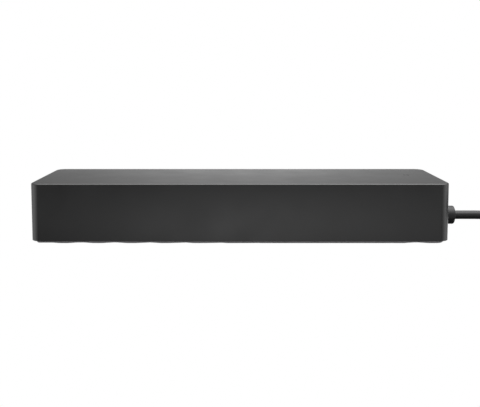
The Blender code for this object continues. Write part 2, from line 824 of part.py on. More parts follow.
def make_cooling():
    """Silicone pads carry the two hot chips' heat into a grooved aluminium plate."""
    low = SEAT + CHIP_HEIGHT + CLEARANCE
    high = low + THERMAL_PAD_HEIGHT
    for number, chip in enumerate(COOLED_CHIPS, start=1):
        box(
            f"thermal_pad_{number}",
            (chip.x - 0.0045, chip.y - 0.0045, low),
            (chip.x + 0.0045, chip.y + 0.0045, high),
            "thermal_silicone",
            0.0002,
        )
    plate_low = high + CLEARANCE
    plate_high = plate_low + SPREADER_HEIGHT
    front, rear = -0.0190, 0.0030
    plate = box(
        "heat_spreader", (-0.0400, front, plate_low), (0.0220, rear, plate_high), "spreader_aluminium"
    )
    for number in range(5):
        y = front + 0.0032 + number * GROOVE_PITCH
        groove = box(
            f"spreader_groove_{number + 1}",
            (-0.0410, y - GROOVE_PITCH / 3, plate_low + 0.0015),
            (0.0230, y + GROOVE_PITCH / 3, plate_high + 0.001),
        )
        cut(plate, groove)


def make_shield_plate():
    """Pressed steel plate between the tray's ribs and the board's solder side."""
    low, high = SHIELD_LOW, SHIELD_HIGH
    plate = box("shield_plate", (-0.0840, -0.0200, low), (0.0740, 0.0200, high), "shield_steel")
    for number, x in enumerate((-0.0450, -0.0150, 0.0150, 0.0450), start=1):
        below, above = (x - 0.0090, -0.0030, low - 0.001), (x + 0.0090, 0.0030, high + 0.001)
        cut(plate, box(f"shield_slot_{number}", below, above))


def make_fasteners():
    for number, (x, y) in enumerate(corners_of(POST_X, POST_Y), start=1):
        screw_part(f"base_screw_{number}", x, y, TRAY_FLOOR + 0.0001, BASE_SCREW)
    for number, (x, y) in enumerate(corners_of(BOSS_X, BOSS_Y), start=1):
        screw_part(f"board_screw_{number}", x, y, SEAT, BOARD_SCREW)
    for number, y in enumerate((-CLAMP_SCREW_Y, CLAMP_SCREW_Y), start=1):
        screw_part(f"cable_clamp_screw_{number}", CLAMP_X, y, CLAMP_TOP + CLEARANCE, CLAMP_SCREW)


# ---------------------------------------------------------------- power button and status light


def make_power_button():
    """Round cap held behind the panel by its flange, and the switch that its stem presses."""
    flange_radius = BUTTON_RADIUS + BUTTON_FLANGE
    profile = (
        (0.0, BUTTON_FRONT_Y),
        (BUTTON_RADIUS - 0.0003, BUTTON_FRONT_Y),
        (BUTTON_RADIUS, BUTTON_FRONT_Y - 0.0003),
        (BUTTON_RADIUS, BUTTON_FLANGE_Y),
        (flange_radius, BUTTON_FLANGE_Y),
        (flange_radius, BUTTON_FLANGE_Y - 0.0008),
        (STEM_RADIUS, BUTTON_FLANGE_Y - 0.0008),
        (STEM_RADIUS, STEM_END_Y),
        (0.0, STEM_END_Y),
    )
    turned("power_button", profile, (BUTTON_X, 0, SOCKET_Z), "panel_plastic", 24, "Y", closed=False)

    plunger_front = STEM_END_Y - CLEARANCE
    plunger_back = plunger_front - 0.0026
    rod(
        "power_switch_plunger",
        (BUTTON_X, plunger_back, SOCKET_Z),
        (BUTTON_X, plunger_front, SOCKET_Z),
        STEM_RADIUS,
        "socket_plastic",
        sides=16,
    )
    body_front = plunger_front - 0.0010
    body = box(
        "power_switch_body",
        (BUTTON_X - 0.0030, body_front - 0.0040, SEAT),
        (BUTTON_X + 0.0030, body_front, 2 * SOCKET_Z - SEAT),
        "chip_epoxy",
    )
    bore_back, bore_front = (BUTTON_X, plunger_back - 0.0009, SOCKET_Z), (BUTTON_X, 0.022, SOCKET_Z)
    cut(body, rod("plunger_bore", bore_back, bore_front, STEM_RADIUS + CLEARANCE, sides=16))


def make_light_pipe():
    """Clear pipe that stands over the LED, jogs forward and ends flush in the top of the cover."""
    lens_low, arm_high, arm_low = HEIGHT - 0.0030, HEIGHT - 0.0024, HEIGHT - 0.0038
    lens = rod(
        "led_light_pipe",
        (LIGHT_X, LIGHT_Y, lens_low),
        (LIGHT_X, LIGHT_Y, HEIGHT - 0.0001),
        LIGHT_RADIUS,
        "light_pipe",
        sides=16,
    )
    arm = box(
        "light_arm",
        (LIGHT_X - 0.0011, LIGHT_Y - 0.0014, arm_low),
        (LIGHT_X + 0.0011, 0.0080, arm_high),
    )
    leg = box(
        "light_leg",
        (LIGHT_X - 0.0010, LED_Y - 0.0010, SEAT + 0.0011),
        (LIGHT_X + 0.0010, LED_Y + 0.0009, arm_low + 0.0002),
    )
    join(lens, arm, leg)


# ---------------------------------------------------------------- cable entry


def make_cable_entry():
    bore = CABLE_RADIUS + CLEARANCE
    outer_shoulder, inner_shoulder = 0.1059, 0.1033
    profile = (
        (COLLAR_RADIUS - 0.0003, COLLAR_TIP_X),
        (COLLAR_RADIUS, COLLAR_TIP_X - 0.0003),
        (COLLAR_RADIUS, outer_shoulder),
        (COLLAR_NECK_RADIUS, outer_shoulder),
        (COLLAR_NECK_RADIUS, inner_shoulder),
        (COLLAR_NECK_RADIUS + 0.0007, inner_shoulder),
        (COLLAR_NECK_RADIUS + 0.0007, inner_shoulder - 0.0012),
        (bore, inner_shoulder - 0.0012),
        (bore, COLLAR_TIP_X),
    )
    turned("cable_collar", profile, (0, 0, CABLE_Z), "cable_rubber", 28, "X")

    bar = box(
        "cable_clamp",
        (CLAMP_X - CLAMP_HALF_X, -CLAMP_HALF_Y, CABLE_Z + CLEARANCE),
        (CLAMP_X + CLAMP_HALF_X, CLAMP_HALF_Y, CLAMP_TOP),
        "tray_plastic",
    )
    cut(bar, cable_groove("clamp_groove"))
    for number, y in enumerate((-CLAMP_SCREW_Y, CLAMP_SCREW_Y), start=1):
        below, above = (CLAMP_X, y, CABLE_Z - 0.002), (CLAMP_X, y, CLAMP_TOP + 0.002)
        cut(bar, rod(f"clamp_hole_{number}", below, above, 0.0012, sides=12))

    tube("host_cable_inner", INNER_ROUTE, CABLE_RADIUS, "cable_rubber", spacing=0.004)
    box("cable_board_plug", (0.0718, -0.0160, 0.0112), (0.0780, -0.0080, 0.0152), "socket_plastic", 0.0003)
    box("cable_board_header", (0.0660, -0.0170, SEAT), (0.0715, -0.0070, 0.0158), "socket_plastic", 0.0003)


# ---------------------------------------------------------------- free cable, coil and plug


def make_free_cable():
    tube("host_cable", LEAD_ROUTE, CABLE_RADIUS, "cable_rubber")
    ring = (
        (COIL_OUTER - COIL_SLOPE, COIL_HIGH),
        (COIL_OUTER, COIL_SHOULDER),
        (COIL_OUTER, COIL_LOW),
        (COIL_INNER, COIL_LOW),
        (COIL_INNER, COIL_SHOULDER),
        (COIL_INNER + COIL_SLOPE, COIL_HIGH),
    )
    turned("host_cable_coil", ring, (COIL_X, 0, 0), "cable_rubber", 36)
    tube("host_cable_tail", TAIL_ROUTE, CABLE_RADIUS, "cable_rubber")

    slack = CLEARANCE
    around = TIE_THICKNESS + slack
    tie = box(
        "cable_tie",
        (COIL_X - TIE_HALF_WIDTH, -COIL_OUTER - around, COIL_LOW - TIE_THICKNESS - 0.0002),
        (COIL_X + TIE_HALF_WIDTH, -COIL_INNER + around, COIL_HIGH + around),
        "tie_fabric",
    )
    loop = box(
        "tie_loop",
        (COIL_X - 0.005, -COIL_OUTER - slack, COIL_LOW - 0.0002),
        (COIL_X + 0.005, -COIL_INNER + slack, COIL_HIGH + slack),
    )
    cut(tie, loop)


def make_plug():
    """Flat overmoulded plug with its strain relief and metal nose, lying beside the coil."""
    grip = prism(
        "host_plug_body",
        0.0115,
        0.0062,
        (0.0028,) * 4,
        PLUG_GRIP_END_Y,
        PLUG_RELIEF_END_Y,
        PLUG_X,
        PLUG_Z,
        "cable_rubber",
        segments=4,
    )
    relief = rod(
        "plug_relief",
        (PLUG_X, PLUG_RELIEF_END_Y - 0.002, PLUG_Z),
        (PLUG_X, PLUG_RELIEF_TIP_Y, PLUG_Z),
        0.0030,
        sides=16,
        end_radius=0.0026,
    )
    join(grip, relief)
    nose = prism(
        "host_plug_metal",
        0.0083,
        0.0024,
        (0.00115,) * 4,
        PLUG_NOSE_END_Y,
        PLUG_GRIP_END_Y - CLEARANCE,
        PLUG_X,
        PLUG_Z,
        "socket_metal",
    )
    mouth = prism(
        "plug_mouth",
        0.0071,
        0.0016,
        (0.0007,) * 4,
        PLUG_NOSE_END_Y - 0.001,
        PLUG_NOSE_END_Y + 0.0060,
        PLUG_X,
        PLUG_Z,
    )
    cut(nose, mouth)


make_cover()
make_tray()
make_pad()
make_panel()
for each_socket in SOCKETS:
    make_socket(each_socket)
make_network_jack()
make_board()
make_chips()
make_cooling()
make_shield_plate()
make_fasteners()
make_power_button()
make_light_pipe()
make_cable_entry()
make_free_cable()
make_plug()
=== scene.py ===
"""Looks of the laptop docking station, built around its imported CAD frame. Metres, +Z up."""

import json
import math
from collections import namedtuple

import bmesh
import bpy
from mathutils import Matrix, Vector


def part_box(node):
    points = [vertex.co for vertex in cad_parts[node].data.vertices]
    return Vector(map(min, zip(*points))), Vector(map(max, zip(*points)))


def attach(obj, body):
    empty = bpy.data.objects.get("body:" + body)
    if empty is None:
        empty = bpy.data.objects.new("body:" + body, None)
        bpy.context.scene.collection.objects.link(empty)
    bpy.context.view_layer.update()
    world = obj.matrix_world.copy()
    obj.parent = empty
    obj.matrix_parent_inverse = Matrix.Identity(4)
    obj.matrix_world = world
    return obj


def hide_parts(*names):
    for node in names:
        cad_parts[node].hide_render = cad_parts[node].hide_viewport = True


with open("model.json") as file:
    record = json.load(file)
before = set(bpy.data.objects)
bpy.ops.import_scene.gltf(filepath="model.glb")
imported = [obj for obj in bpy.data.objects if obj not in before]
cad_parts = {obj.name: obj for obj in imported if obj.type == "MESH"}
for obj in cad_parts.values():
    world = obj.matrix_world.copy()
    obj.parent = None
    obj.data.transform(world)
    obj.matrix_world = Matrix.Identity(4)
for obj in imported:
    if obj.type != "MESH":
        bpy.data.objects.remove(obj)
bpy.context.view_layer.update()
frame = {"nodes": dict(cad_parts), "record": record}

HOUSING = "housing"
BUTTON = "power_button"

# Camera: the dock's blank long side, seen from slightly above
CAMERA_PLACE = (0.0, -0.35866, 0.08284)
CAMERA_PITCH = math.radians(10.634)
CAMERA_LENS = 50.55

# Soft lights around the dock. Azimuth runs from the camera's side (0) towards the cable end (90)
# and elevation up from the horizon, with the light's half width, all in degrees.
Light = namedtuple("Light", "name azimuth elevation width strength")
STUDIO = (
    Light("low front", 0, -16, 8, 2.20),
    Light("low front right", 17, -16, 9, 0.50),
    Light("back", 180, 5, 9, 0.84),
    Light("left front", -54, -3, 11, 0.85),
    Light("left", -86, -3, 20, 1.90),
    Light("right front", 52, -3, 11, 0.85),
    Light("right", 84, -3, 20, 1.90),
    Light("low back left", -150, -22, 13, 1.7),
    Light("low back", 180, -22, 13, 1.7),
    Light("low back right", 150, -22, 13, 1.7),
    Light("overhead", 90, 83, 24, 9.4),
)
AMBIENT = 0.03

# Cover, from the driving sizes of the CAD part
TOP_HALF_X, TOP_HALF_Y = 0.1050, 0.02815
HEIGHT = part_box("top_cover")[1][2]
COVER_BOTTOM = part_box("top_cover")[0][2]
DRAFT = math.radians(1.4)
CORNER_RADIUS = 0.0050
EDGE_RADIUS = 0.0006
WALL = 0.0018
LENS_Y = 0.0030
WINDOW_HALF_X = 0.0920
WINDOW_INNER_Y, WINDOW_OUTER_Y = 0.0240, 0.0320
WINDOW_LOW, WINDOW_HIGH = 0.0056, 0.0260
POST_RADIUS = 0.0030
POST_FOOT_Z = 0.0041
SCREW_BORE_RADIUS = 0.0015
SCREW_BORE_TOP_Z = 0.0115
CABLE_HOLE_RADIUS = 0.0042
CABLE_HOLE_START_X, CABLE_HOLE_END_X = 0.1020, 0.1080
LIGHT_HOLE_RADIUS = 0.0015

# Rubber pad
PAD_CORNER = 0.0030
PAD_EDGE = 0.0004
RIDGE_PITCH = 0.0170
RIDGE_DEPTH = 0.00035
RIDGE_AT_X = -0.0042
STEPS_PER_RIDGE = 24

# Host cable
CABLE_DIAMETER = 0.0047
CABLE_Z = 0.0093
COIL_X = 0.1930
COIL_INNER_TURN = 0.02365
COIL_OUTER_TURN = COIL_INNER_TURN + CABLE_DIAMETER
LOW_TURN_Z = 0.0032
TOP_TURN_Z = 0.0121
COIL_START = math.radians(135)
STEPS_PER_TURN = 36
# Each layer change: turns at which it starts and ends, then the radius and height it leads to
COIL_CHANGES = (
    (0.75, 1.00, COIL_INNER_TURN, LOW_TURN_Z),
    (1.60, 1.75, COIL_INNER_TURN, LOW_TURN_Z + CABLE_DIAMETER),
    (2.35, 2.60, COIL_OUTER_TURN, LOW_TURN_Z + CABLE_DIAMETER),
    (3.20, 3.35, (COIL_INNER_TURN + COIL_OUTER_TURN) / 2, TOP_TURN_Z),
)
COIL_TURNS = 4.07
LEAD_ROUTE = (
    (0.1142, 0.0, 0.0093),
    (0.1183, 0.0, 0.0093),
    (0.1243, 0.0, 0.0093),
    (0.1303, 0.0, 0.00925),
    (0.1363, 0.0, 0.0088),
    (0.1418, 0.0, 0.0077),
    (0.1470, 0.0005, 0.0062),
    (0.1520, 0.0021, 0.0047),
    (0.1567, 0.0045, 0.0036),
    (0.1608, 0.0079, 0.0032),
    (0.1650, 0.0121, 0.0032),
    (0.1695, 0.0166, 0.0032),
)
TAIL_ROUTE = (
    (0.2045, 0.0277, 0.0108),
    (0.2110, 0.0288, 0.0088),
    (0.2172, 0.0277, 0.0070),
    (0.2232, 0.0244, 0.0051),
    (0.2277, 0.0195, 0.0039),
    (0.2303, 0.0136, 0.0033),
    (0.2309, 0.0083, 0.00325),
)

# Collar of the host cable
COLLAR_SHOULDER_X = 0.1059
COLLAR_NECK_RADIUS = 0.0039
COLLAR_ROUNDING = 0.0005
COLLAR_CLEARANCE = 0.00012
COLLAR_MOUTH_CHAMFER = 0.0003
COLLAR_SHOULDER_CHAMFER = 0.0002
COLLAR_FLANGE_WIDTH = 0.0012
COLLAR_FLANGE_RISE = 0.0007

# Tie of the coil
TIE_THICKNESS = 0.0006
TIE_CORNER = 0.0026

# Plug at the free end, its finger grooves and its strain relief
PLUG_BACK_Y = -0.0020
PLUG_CORNER = 0.0029
PLUG_EDGE = 0.0008
GROOVE_COUNT = 4
GROOVE_START = 0.0075
GROOVE_PITCH = 0.0022
GROOVE_SLOPE = 0.0004
GROOVE_DEPTH = 0.00025
RELIEF_RIBS = 5
RELIEF_OVERLAP = 0.0005
RELIEF_RADIUS = 0.0030
RELIEF_TAPER = 0.00008
RELIEF_RIB_HEIGHT = 0.00035

# Contact pads in the sockets
CONTACT_LENGTH = 0.0048
CONTACT_THICKNESS = 0.0001
CONTACT_SETBACK = 0.0030
CONTACT_EDGE = 0.00003
Contacts = namedtuple("Contacts", "count pitch width")
CONTACTS = {
    "usb_a": Contacts(4, 0.0022, 0.0010),
    "usb_c": Contacts(12, 0.0005, 0.00025),
    "video": Contacts(10, 0.0010, 0.0004),
}

# Cap of the power button
CAP_STEP = 0.0009
CAP_HEIGHT = 0.00345
CAP_EDGE = 0.0004
DISH_DEPTH = 0.00012
DISH_RADIUS = 0.0019
DISH_STEPS = (0.0006, 0.0012, 0.0016, DISH_RADIUS)
RING_DEPTH = 0.0002
RING_INNER, RING_MIDDLE, RING_OUTER = 0.00205, 0.0022, 0.00235
FLANGE_THICKNESS = 0.0008
STEM_RADIUS = 0.0012


# ---------------------------------------------------------------- camera, floor and light


def link(name, data):
    obj = bpy.data.objects.new(name, data)
    bpy.context.scene.collection.objects.link(obj)
    return obj


def make_camera():
    data = bpy.data.cameras.new("camera")
    data.sensor_width = 36.0
    data.lens = CAMERA_LENS
    data.clip_start = 0.01
    camera = link("camera", data)
    camera.location = CAMERA_PLACE
    camera.rotation_euler = (math.pi / 2 - CAMERA_PITCH, 0, 0)
    bpy.context.scene.camera = camera


def make_backdrop():
    """White floor and white surroundings, which the camera sees but which light nothing."""
    white = bpy.data.materials.new("studio_white")
    white.use_nodes = True
    tree = white.node_tree
    tree.nodes.remove(tree.nodes["Principled BSDF"])
    emission = tree.nodes.new("ShaderNodeEmission")
    tree.links.new(emission.outputs["Emission"], tree.nodes["Material Output"].inputs["Surface"])
    floor, dome = bmesh.new(), bmesh.new()
    bmesh.ops.create_circle(floor, cap_ends=True, segments=64, radius=7.9)
    bmesh.ops.create_uvsphere(dome, u_segments=32, v_segments=16, radius=8.0)
    for name, bm in (("floor", floor), ("backdrop", dome)):
        mesh = bpy.data.meshes.new(name)
        bm.to_mesh(mesh)
        bm.free()
        mesh.materials.append(white)
        obj = link(name, mesh)
        for ray in ("diffuse", "glossy", "transmission", "volume_scatter", "shadow"):
            setattr(obj, f"visible_{ray}", False)


def math_node(tree, operation, value=None):
    node = tree.nodes.new("ShaderNodeMath")
    node.operation = operation
    if value is not None:
        tree.links.new(value, node.inputs[0])
    return node


def make_studio():
    """World whose light comes from a few soft directions."""
    world = bpy.data.worlds.new("studio")
    bpy.context.scene.world = world
    world.use_nodes = True
    tree = world.node_tree
    direction = tree.nodes.new("ShaderNodeTexCoord").outputs["Generated"]
    total = None
    for light in STUDIO:
        azimuth, elevation = math.radians(light.azimuth), math.radians(light.elevation)
        level = math.cos(elevation)
        aim = tree.nodes.new("ShaderNodeVectorMath")
        aim.label = light.name
        aim.operation = "DOT_PRODUCT"
        aim.inputs[1].default_value = (
            math.sin(azimuth) * level,
            -math.cos(azimuth) * level,
            math.sin(elevation),
        )
        tree.links.new(direction, aim.inputs[0])
        falloff = math_node(tree, "MULTIPLY_ADD", aim.outputs["Value"])
        sharpness = 1 / math.radians(light.width) ** 2
        falloff.inputs[1].default_value = sharpness
        falloff.inputs[2].default_value = -sharpness
        glow = math_node(tree, "EXPONENT", falloff.outputs["Value"])
        share = math_node(tree, "MULTIPLY_ADD", glow.outputs["Value"])
        share.inputs[1].default_value = light.strength
        share.inputs[2].default_value = AMBIENT
        if total is not None:
            tree.links.new(total.outputs["Value"], share.inputs[2])
        total = share
    background = tree.nodes["Background"]
    background.inputs["Color"].default_value = (1, 1, 1, 1)
    tree.links.new(total.outputs["Value"], background.inputs["Strength"])
    bpy.context.scene.view_settings.view_transform = "Standard"


# ---------------------------------------------------------------- materials


def new_material(name, **values):
    """Principled material with the given constants on its own sockets."""
    made = bpy.data.materials.new(name)
    made.use_nodes = True
    shader = made.node_tree.nodes["Principled BSDF"]
    for socket, value in values.items():
        shader.inputs[socket.replace("_", " ")].default_value = value
    return made


def noise(tree, scale, detail, stretch=(1, 1, 1)):
    """Noise in the piece's own coordinates, drawn out along an axis where its factor is small."""
    coords = tree.nodes.new("ShaderNodeTexCoord")
    mapping = tree.nodes.new("ShaderNodeMapping")
    mapping.inputs["Scale"].default_value = stretch
    texture = tree.nodes.new("ShaderNodeTexNoise")
    texture.inputs["Scale"].default_value = scale
    texture.inputs["Detail"].default_value = detail
    tree.links.new(coords.outputs["Object"], mapping.inputs["Vector"])
    tree.links.new(mapping.outputs["Vector"], texture.inputs["Vector"])
    return texture.outputs["Fac"]


def spread(tree, value, low, high, start=0.3, end=0.7):
    """A texture's middle range mapped to low ... high."""
    node = tree.nodes.new("ShaderNodeMapRange")
    node.inputs["From Min"].default_value = start
    node.inputs["From Max"].default_value = end
    node.inputs["To Min"].default_value = low
    node.inputs["To Max"].default_value = high
    tree.links.new(value, node.inputs["Value"])
    return node.outputs["Result"]


def blend(tree, value, first, second):
    node = tree.nodes.new("ShaderNodeMix")
    node.data_type = "RGBA"
    sockets = [s for s in node.inputs if s.type == "RGBA"]
    for socket, colour in zip(sockets, (first, second)):
        if isinstance(colour, tuple):
            socket.default_value = (*colour, 1)
        else:
            tree.links.new(colour, socket)
    tree.links.new(value, node.inputs["Factor"])
    return [s for s in node.outputs if s.type == "RGBA"][0]


def bump(tree, height, depth, strength=0.6, under=None):
    node = tree.nodes.new("ShaderNodeBump")
    node.inputs["Strength"].default_value = strength
    node.inputs["Distance"].default_value = depth
    tree.links.new(height, node.inputs["Height"])
    if under is not None:
        tree.links.new(under, node.inputs["Normal"])
    return node.outputs["Normal"]


def shades(colour, amount):
    return tuple(c * (1 - amount) for c in colour), tuple(c * (1 + amount) for c in colour)


def finish_shader(made, colour, roughness, normal):
    shader = made.node_tree.nodes["Principled BSDF"]
    for socket, value in (("Base Color", colour), ("Roughness", roughness), ("Normal", normal)):
        made.node_tree.links.new(value, shader.inputs[socket])
    return made


def moulded(name, colour, roughness, grain, depth, mottle=0.08, **values):
    """Moulded plastic or rubber: eroded-mould grain, faintly cloudy tone and uneven gloss."""
    made = new_material(name, **values)
    tree = made.node_tree
    cloud = noise(tree, 60.0, 4.0)
    tone = blend(tree, spread(tree, cloud, 0, 1), *shades(colour, mottle))
    gloss = spread(tree, cloud, roughness - 0.03, roughness + 0.03)
    return finish_shader(made, tone, gloss, bump(tree, noise(tree, 1 / grain, 3.0), depth))


def metal(name, colour, roughness, stretch):
    """Sheet or turned metal with fine marks along its working direction and faint stains."""
    made = new_material(name, Metallic=1.0)
    tree = made.node_tree
    marks = noise(tree, 3000.0, 4.0, stretch)
    tone = blend(tree, spread(tree, noise(tree, 260.0, 3.0), 0, 1), *shades(colour, 0.07))
    gloss = spread(tree, marks, roughness - 0.08, roughness + 0.08)
    return finish_shader(made, tone, gloss, bump(tree, marks, 0.000004))


def object_texture(tree, kind, scale, **values):
    """Texture node of a kind in the piece's own coordinates."""
    coords = tree.nodes.new("ShaderNodeTexCoord")
    texture = tree.nodes.new(kind)
    texture.inputs["Scale"].default_value = scale
    for socket, value in values.items():
        texture.inputs[socket.replace("_", " ")].default_value = value
    tree.links.new(coords.outputs["Object"], texture.inputs["Vector"])
    return texture.outputs


def hook_tape(name, colour):
    """Hook-and-loop tape: small loops in a woven ground."""
    made = new_material(name, Sheen_Weight=0.35, Sheen_Roughness=0.5)
    tree = made.node_tree
    loops = object_texture(tree, "ShaderNodeTexVoronoi", 1900.0)["Distance"]
    weave = object_texture(tree, "ShaderNodeTexWave", 420.0, Distortion=1.5)["Fac"]
    tone = blend(tree, loops, *shades(colour, 0.45))
    ground = bump(tree, weave, 0.00005)
    relief = bump(tree, loops, 0.00012, 0.9, ground)
    return finish_shader(made, tone, spread(tree, weave, 0.84, 0.94, 0, 1), relief)


def circuit_board(name, mask, copper):
    """Solder mask over copper: straight tracks show through it as lighter, raised lines."""
    made = new_material(name, Coat_Weight=0.4, Coat_Roughness=0.25)
    tree = made.node_tree
    layout = {"Mortar_Size": 0.06, "Mortar_Smooth": 0.2, "Brick_Width": 1.3, "Row_Height": 0.17}
    tracks = object_texture(tree, "ShaderNodeTexBrick", 90.0, **layout)["Fac"]
    fibres = noise(tree, 900.0, 3.0, (1, 0.2, 1))
    cloth = blend(tree, spread(tree, fibres, 0, 1), *shades(mask, 0.15))
    tone = blend(tree, tracks, cloth, copper)
    return finish_shader(made, tone, spread(tree, fibres, 0.34, 0.46), bump(tree, tracks, 0.00004))


def smoked_acrylic(name):
    """Smoked acrylic with faint flow marks."""
    made = new_material(name, IOR=1.49, Transmission_Weight=0.35, Specular_IOR_Level=0.3)
    tree = made.node_tree
    flow = noise(tree, 500.0, 3.0, (1, 1, 0.3))
    tone = blend(tree, flow, (0.006, 0.006, 0.007), (0.014, 0.014, 0.015))
    return finish_shader(made, tone, spread(tree, flow, 0.22, 0.34), bump(tree, flow, 0.00001))


def make_materials():
    """One material for each of the record's slots."""
    return {
        "cover_plastic": moulded(
            "cover_plastic", (0.0095, 0.0095, 0.0097), 0.34, 0.00022, 0.000005
        ),
        "panel_plastic": moulded("panel_plastic", (0.006, 0.006, 0.0062), 0.27, 0.00030, 0.000006),
        "tray_plastic": moulded("tray_plastic", (0.028, 0.028, 0.029), 0.58, 0.00035, 0.000014),
        # Pad rubber: its pale grey tone is painted light, standing in for the light the white floor
        # throws up onto the pad
        "pad_rubber": moulded("pad_rubber", (0.26, 0.25, 0.265), 0.78, 0.00028, 0.00002, 0.12),
        "cable_rubber": moulded(
            "cable_rubber", (0.010, 0.010, 0.0105), 0.50, 0.00016, 0.000005, Specular_IOR_Level=0.30
        ),
        "tie_fabric": hook_tape("tie_fabric", (0.020, 0.020, 0.022)),
        "board_laminate": circuit_board(
            "board_laminate", (0.006, 0.050, 0.026), (0.03, 0.11, 0.05)
        ),
        "socket_metal": metal("socket_metal", (0.62, 0.62, 0.63), 0.28, (1, 0.1, 1)),
        "socket_plastic": moulded("socket_plastic", (0.012, 0.012, 0.013), 0.48, 0.0002, 0.000006),
        "contact_gold": metal("contact_gold", (0.83, 0.62, 0.25), 0.24, (1, 0.1, 1)),
        "chip_epoxy": moulded("chip_epoxy", (0.018, 0.018, 0.019), 0.55, 0.00012, 0.00001, 0.15),
        "ferrite": moulded("ferrite", (0.090, 0.090, 0.098), 0.66, 0.0002, 0.00002, 0.20),
        "spreader_aluminium": metal("spreader_aluminium", (0.70, 0.71, 0.73), 0.36, (0.08, 1, 1)),
        "shield_steel": metal("shield_steel", (0.55, 0.56, 0.57), 0.34, (0.15, 1, 1)),
        "screw_steel": metal("screw_steel", (0.26, 0.26, 0.27), 0.32, (1, 1, 0.2)),
        "thermal_silicone": moulded("thermal_silicone", (0.42, 0.50, 0.57), 0.85, 0.0004, 0.00003),
        "light_pipe": smoked_acrylic("light_pipe"),
    }


MATERIALS = make_materials()


def soften(obj, width, angle=40):
    """Small radius on every sharp edge, shaded so that the flats stay flat."""
    bevel = obj.modifiers.new("soft edges", "BEVEL")
    bevel.width = width
    bevel.segments = 2
    bevel.limit_method = "ANGLE"
    bevel.angle_limit = math.radians(angle)
    bevel.harden_normals = True


def dress_cad():
    """Every CAD node takes its slot's material, and the folded and moulded ones soft edges."""
    softened = {"socket_metal": 0.00008, "socket_plastic": 0.00008, "panel_plastic": 0.00012}
    for subpart in frame["record"]["subparts"]:
        node, slot = frame["nodes"][subpart["node"]], subpart["material_slot"]
        node.data.materials.clear()
        node.data.materials.append(MATERIALS[slot])
        if slot in softened:
            soften(node, softened[slot])


# ---------------------------------------------------------------- building pieces


def finish_piece(obj, slot, body, *replaced):
    obj.data.materials.clear()
    obj.data.materials.append(MATERIALS[slot])
    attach(obj, body)
    if replaced:
        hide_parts(*replaced)
    return obj


def arc(centre, radius, start, end, steps):
    """Points of an arc in a profile's plane, between two angles in degrees."""
    points = []
    for step in range(steps + 1):
        angle = math.radians(start + (end - start) * step / steps)
        points.append((centre[0] + radius * math.cos(angle), centre[1] + radius * math.sin(angle)))
    return points


def rounded_outline(half_x, half_y, corner, segments):
    """Rounded rectangle, anticlockwise, as flat points."""
    outline = []
    for quarter, (side_x, side_y) in enumerate(((1, 1), (-1, 1), (-1, -1), (1, -1))):
        centre = (side_x * (half_x - corner), side_y * (half_y - corner))
        outline += arc(centre, corner, 90 * quarter, 90 * (quarter + 1), segments)
    return outline


def loft(name, rings, closed=False):
    """Skin over rings of equal length, with flat ends unless the last ring meets the first."""
    bm = bmesh.new()
    rows = [[bm.verts.new(point) for point in ring] for ring in rings]
    pairs = list(zip(rows, rows[1:]))
    if closed:
        pairs.append((rows[-1], rows[0]))
    for lower, upper in pairs:
        for i in range(len(lower)):
            j = (i + 1) % len(lower)
            bm.faces.new((lower[i], lower[j], upper[j], upper[i]))
    if not closed:
        bm.faces.new(rows[0][::-1])
        bm.faces.new(rows[-1])
    bmesh.ops.remove_doubles(bm, verts=bm.verts, dist=1e-7)
    bmesh.ops.recalc_face_normals(bm, faces=bm.faces)
    mesh = bpy.data.meshes.new(name)
    bm.to_mesh(mesh)
    bm.free()
    mesh.shade_smooth()
    mesh.set_sharp_from_angle(angle=math.radians(35))
    return link(name, mesh)


def combine(obj, operation, *helpers):
    """Join the helpers to the object's own mesh, or take them out of it, and remove them."""
    for helper in helpers:
        modifier = obj.modifiers.new(operation.lower(), "BOOLEAN")
        modifier.operation = operation
        modifier.solver = "EXACT"
        modifier.object = helper
    bpy.context.view_layer.update()
    evaluated = obj.evaluated_get(bpy.context.evaluated_depsgraph_get())
    mesh = bpy.data.meshes.new_from_object(evaluated)
    obj.modifiers.clear()
    obj.data = mesh
    for helper in helpers:
        bpy.data.objects.remove(helper, do_unlink=True)
    mesh.set_sharp_from_angle(angle=math.radians(35))


def block(name, low, high):
    """Plain cutting block."""
    (x0, y0, z0), (x1, y1, z1) = low, high
    outline = ((x0, y0), (x1, y0), (x1, y1), (x0, y1))
    return loft(name, [[(x, y, z) for x, y in outline] for z in (z0, z1)])


def turned(name, profile, centre, axis, steps=64, bored=False):
    """Turned solid from (radius, reach) pairs along an axis, closed on itself if bored."""
    rings = []
    for radius, reach in profile:
        ring = []
        for step in range(steps):
            angle = 2 * math.pi * step / steps
            across, up = radius * math.cos(angle), radius * math.sin(angle)
            places = {"X": (reach, across, up), "Y": (up, reach, across), "Z": (across, up, reach)}
            ring.append(tuple(c + p for c, p in zip(centre, places[axis])))
        rings.append(ring)
    return loft(name, rings, closed=bored)


def rod(name, radius, start, end, centre, axis, steps=64):
    """Plain round solid between two places along an axis."""
    return turned(name, ((radius, start), (radius, end)), centre, axis, steps)


# ---------------------------------------------------------------- host cable


def ease(t):
    t = min(max(t, 0.0), 1.0)
    return t * t * (3 - 2 * t)


def coil_points():
    """The coil from its first turn on the table to where the tail leaves, clockwise from above."""
    points = []
    for number in range(1, round(COIL_TURNS * STEPS_PER_TURN) + 1):
        turns = number / STEPS_PER_TURN
        radius, height = COIL_OUTER_TURN, LOW_TURN_Z
        for start, end, next_radius, next_height in COIL_CHANGES:
            share = ease((turns - start) / (end - start))
            radius += (next_radius - radius) * share
            height += (next_height - height) * share
        angle = COIL_START - 2 * math.pi * turns
        points.append((COIL_X + radius * math.cos(angle), radius * math.sin(angle), height))
    return points


